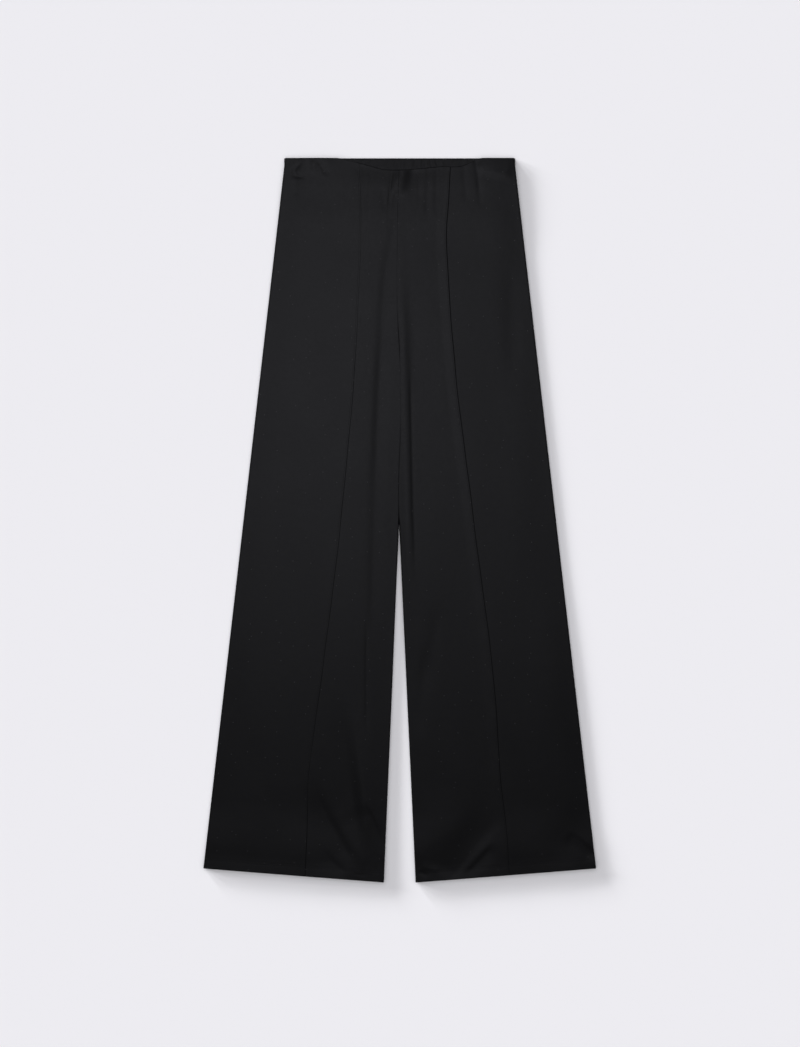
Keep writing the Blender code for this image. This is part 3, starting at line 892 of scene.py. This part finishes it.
def crease_stitches(leg):
    low = hem_line(crease_line(leg, HEM_OUTER_Y))
    high = waist_line(crease_line(leg, WAIST_Y))
    y = np.arange(low + SEWING_INSET, high - SEWING_INSET, PATH_STEP)
    x = crease_line(leg, y) + CREASE_STITCH_OFFSET
    return stitch_row("crease_stitches_" + leg, on_front(leg, x, y))


# ---------------------------------------------------------------- materials


def principled(name):
    material = bpy.data.materials.new(name)
    material.use_nodes = True
    return material, material.node_tree, material.node_tree.nodes["Principled BSDF"]


def add(tree, kind, **values):
    """A node of this kind with its properties and input values set."""
    node = tree.nodes.new(kind)
    for key, value in values.items():
        if key in node.inputs:
            node.inputs[key].default_value = value
        else:
            setattr(node, key, value)
    return node


def two_tones(tree, dark, light, between=(0.0, 1.0)):
    """A ramp from the dark colour to the light one between two values of its factor."""
    ramp = add(tree, "ShaderNodeValToRGB")
    for stop, position, colour in zip(ramp.color_ramp.elements, between, (dark, light)):
        stop.position = position
        stop.color = (*colour, 1.0)
    return ramp


def linted(tree, place, colour):
    """The cloth's colour with a rare pale speck of lint."""
    link = tree.links.new
    cells = add(tree, "ShaderNodeTexVoronoi", Scale=LINT_SPACING, voronoi_dimensions="2D")
    link(place, cells.inputs["Vector"])
    close = add(tree, "ShaderNodeMath", operation="LESS_THAN")
    link(cells.outputs["Distance"], close.inputs[0])
    close.inputs[1].default_value = LINT_RADIUS
    chance = add(tree, "ShaderNodeSeparateColor")
    link(cells.outputs["Color"], chance.inputs["Color"])
    chosen = add(tree, "ShaderNodeMath", operation="GREATER_THAN")
    link(chance.outputs["Red"], chosen.inputs[0])
    chosen.inputs[1].default_value = LINT_RARITY
    speck = add(tree, "ShaderNodeMath", operation="MULTIPLY")
    link(close.outputs["Value"], speck.inputs[0])
    link(chosen.outputs["Value"], speck.inputs[1])
    mix = add(tree, "ShaderNodeMix", data_type="RGBA")
    link(speck.outputs["Value"], mix.inputs["Factor"])
    link(colour, mix.inputs["A"])
    mix.inputs["B"].default_value = (*LINT_COLOUR, 1.0)
    return mix.outputs["Result"]


def cloth_material(cloth):
    """A fine crepe jersey: upright ribs of stitches under a grainy crepe, with slow changes of tone."""
    if cloth.name in bpy.data.materials:
        return bpy.data.materials[cloth.name]
    material, tree, shader = principled(cloth.name)
    link = tree.links.new
    place = add(tree, "ShaderNodeTexCoord").outputs["Object"]
    ribs = add(tree, "ShaderNodeTexWave", **KNIT_RIBS)
    rows = add(tree, "ShaderNodeTexWave", **KNIT_ROWS)
    crepe = add(tree, "ShaderNodeTexNoise", **CREPE)
    tone = add(tree, "ShaderNodeTexNoise", **TONE)
    mottle = add(tree, "ShaderNodeTexNoise", **MOTTLE)
    slubs = add(tree, "ShaderNodeTexNoise", **SLUBS)
    stretch = add(tree, "ShaderNodeMapping", Scale=SLUB_STRETCH)
    for texture in (ribs, rows, crepe, tone, mottle, stretch):
        link(place, texture.inputs["Vector"])
    link(stretch.outputs["Vector"], slubs.inputs["Vector"])
    knit = add(tree, "ShaderNodeMath", operation="MULTIPLY")
    link(ribs.outputs["Fac"], knit.inputs[0])
    link(rows.outputs["Fac"], knit.inputs[1])
    relief = add(tree, "ShaderNodeMath", operation="ADD")
    link(knit.outputs["Value"], relief.inputs[0])
    link(crepe.outputs["Fac"], relief.inputs[1])
    uneven = add(tree, "ShaderNodeBump", **SLUB_BUMP)
    link(slubs.outputs["Fac"], uneven.inputs["Height"])
    bump = add(tree, "ShaderNodeBump", **KNIT_BUMP)
    link(relief.outputs["Value"], bump.inputs["Height"])
    link(uneven.outputs["Normal"], bump.inputs["Normal"])
    link(bump.outputs["Normal"], shader.inputs["Normal"])
    mixed = add(tree, "ShaderNodeMath", operation="MULTIPLY_ADD")
    link(crepe.outputs["Fac"], mixed.inputs[0])
    mixed.inputs[1].default_value = CREPE_SHARE
    link(tone.outputs["Fac"], mixed.inputs[2])
    colour = two_tones(tree, cloth.dark, cloth.light, TONE_RANGE)
    link(mixed.outputs["Value"], colour.inputs["Fac"])
    link(linted(tree, place, colour.outputs["Color"]), shader.inputs["Base Color"])
    patchy = add(tree, "ShaderNodeMath", operation="MULTIPLY_ADD")
    link(mottle.outputs["Fac"], patchy.inputs[0])
    patchy.inputs[1].default_value = MOTTLE_SHARE
    link(tone.outputs["Fac"], patchy.inputs[2])
    rough = add(tree, "ShaderNodeMapRange", **MOTTLE_RANGE)
    rough.inputs["To Min"].default_value = cloth.roughness - PATCHINESS
    rough.inputs["To Max"].default_value = cloth.roughness + PATCHINESS
    link(patchy.outputs["Value"], rough.inputs["Value"])
    link(rough.outputs["Result"], shader.inputs["Roughness"])
    shader.inputs["Specular IOR Level"].default_value = CLOTH_SPECULAR
    return material


def thread():
    if "black_thread" in bpy.data.materials:
        return bpy.data.materials["black_thread"]
    material, tree, shader = principled("black_thread")
    link = tree.links.new
    place = add(tree, "ShaderNodeTexCoord").outputs["Object"]
    twist = add(tree, "ShaderNodeTexWave", **THREAD_TWIST)
    link(place, twist.inputs["Vector"])
    bump = add(tree, "ShaderNodeBump", **THREAD_BUMP)
    link(twist.outputs["Fac"], bump.inputs["Height"])
    link(bump.outputs["Normal"], shader.inputs["Normal"])
    colour = two_tones(tree, THREAD_DARK, THREAD_LIGHT)
    link(twist.outputs["Fac"], colour.inputs["Fac"])
    link(colour.outputs["Color"], shader.inputs["Base Color"])
    shader.inputs["Roughness"].default_value = THREAD_ROUGHNESS
    shader.inputs["Specular IOR Level"].default_value = THREAD_SPECULAR
    return material


# ---------------------------------------------------------------- studio


def floor():
    mesh = bpy.data.meshes.new("floor")
    half = FLOOR_SIZE / 2
    corners = [(-half, -half), (half, -half), (half, half), (-half, half)]
    mesh.from_pydata([(x, y, FLOOR_LEVEL) for x, y in corners], [], [(0, 1, 2, 3)])
    material, _, shader = principled("studio_paper")
    shader.inputs["Base Color"].default_value = (*FLOOR_COLOUR, 1.0)
    shader.inputs["Roughness"].default_value = 1.0
    shader.inputs["Specular IOR Level"].default_value = 0.0
    mesh.materials.append(material)
    piece = bpy.data.objects.new("floor", mesh)
    STUDIO.objects.link(piece)


def world():
    """Dim even light from all round, seen by the camera as the same pale grey as the floor."""
    made = bpy.data.worlds.new("studio")
    bpy.context.scene.world = made
    made.use_nodes = True
    tree = made.node_tree
    tree.nodes.clear()
    light = add(tree, "ShaderNodeBackground", Color=(1.0, 1.0, 1.0, 1.0), Strength=AMBIENT)
    seen = add(tree, "ShaderNodeBackground", Color=(*BACKDROP_COLOUR, 1.0), Strength=1.0)
    mix = add(tree, "ShaderNodeMixShader")
    out = add(tree, "ShaderNodeOutputWorld")
    tree.links.new(add(tree, "ShaderNodeLightPath").outputs["Is Camera Ray"], mix.inputs[0])
    tree.links.new(light.outputs[0], mix.inputs[1])
    tree.links.new(seen.outputs[0], mix.inputs[2])
    tree.links.new(mix.outputs[0], out.inputs["Surface"])


def lamp(name, kind, source, lights_only, **values):
    """A lamp at source, aimed at the garment's middle and lighting only one of the two collections."""
    data = bpy.data.lights.new(name, kind)
    for key, value in values.items():
        setattr(data, key, value)
    made = bpy.data.objects.new(name, data)
    bpy.context.scene.collection.objects.link(made)
    made.location = source
    made.rotation_euler = (-Vector(source)).to_track_quat("-Z", "Y").to_euler()
    made.light_linking.receiver_collection = lights_only


def sun_place(sun):
    """A far point in the direction that the sun's light comes from."""
    a = np.radians(sun.azimuth)
    e = np.radians(sun.elevation)
    return Vector((-np.sin(a) * np.cos(e), np.cos(a) * np.cos(e), np.sin(e))) * SUN_DISTANCE


def lights():
    """The floor and the cloth have lamps of their own, so that each can be exposed by itself."""
    for sun in FLOOR_LAMPS:
        lamp(sun.name, "SUN", sun_place(sun), STUDIO, energy=sun.energy, angle=np.radians(sun.width))
    disk = {"shape": "DISK", "size": CLOTH_LIGHT_SIZE, "color": CLOTH_LIGHT_COLOUR}
    lamp("cloth_key_light", "AREA", CLOTH_LIGHT_PLACE, GARMENT, energy=CLOTH_LIGHT_ENERGY, **disk)


def camera():
    data = bpy.data.cameras.new("camera")
    data.lens = LENS
    data.sensor_width = SENSOR
    data.clip_end = CLIP_END
    made = bpy.data.objects.new("camera", data)
    made.location = CAMERA_PLACE
    bpy.context.scene.collection.objects.link(made)
    bpy.context.scene.camera = made


# ---------------------------------------------------------------- scene


def collection(name):
    made = bpy.data.collections.new(name)
    bpy.context.scene.collection.children.link(made)
    return made


GARMENT = collection("garment")
STUDIO = collection("studio")


def main():
    floor()
    backs = {leg: back_panel(leg) for leg in SIDE}
    casing = waist_casing()
    for leg in SIDE:
        front = front_panel(leg)
        sewing = [hem_stitches(leg, row) for row in HEM_STITCH_HEIGHTS]
        sewing.append(crease_stitches(leg))
    camera()
    world()
    lights()
    bpy.context.scene.view_settings.view_transform = "Standard"


main()
